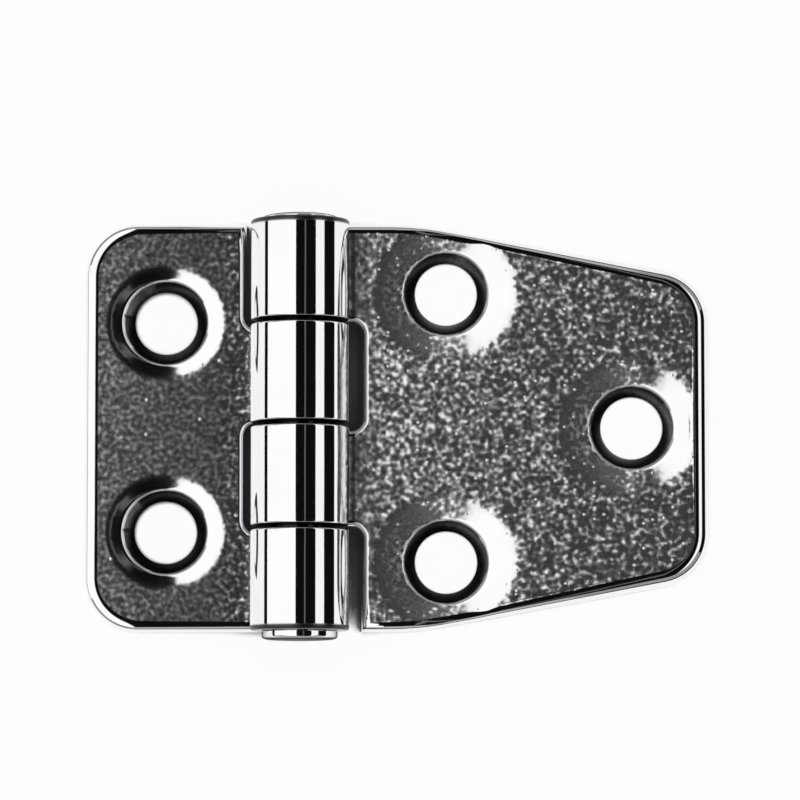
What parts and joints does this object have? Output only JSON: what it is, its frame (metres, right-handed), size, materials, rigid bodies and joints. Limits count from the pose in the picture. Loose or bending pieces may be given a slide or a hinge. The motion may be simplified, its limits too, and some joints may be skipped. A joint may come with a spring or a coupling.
{
  "type": "marine hinge",
  "caption": "Open marine hinge in polished stainless sheet: a short leaf and a tapered leaf with countersunk screw holes, turning on a peened pin.",
  "frame": {"origin": "middle of the open hinge's footprint, on the plane of the leaves' backs", "axes": "+Z out of the fronts of the leaves; +X from the short leaf to the tapered leaf, square to the pin; +Y along the pin"},
  "size_m": [0.058, 0.0398, 0.0091],
  "materials": {
    "polished_sheet": "mirror polished",
    "pin_steel": "polished"
  },
  "bodies": {
    "fixed_leaf": {"short_leaf": "polished_sheet", "hinge_pin": "pin_steel"},
    "swinging_leaf": {"tapered_leaf": "polished_sheet"}
  },
  "joints": [
    {"name": "leaf_swing", "type": "hinge", "parent": "fixed_leaf", "child": "swinging_leaf", "pos_m": [-0.009, 0, 0.00455], "axis": [0, -1, 0], "range_deg": [-90, 180]}
  ]
}
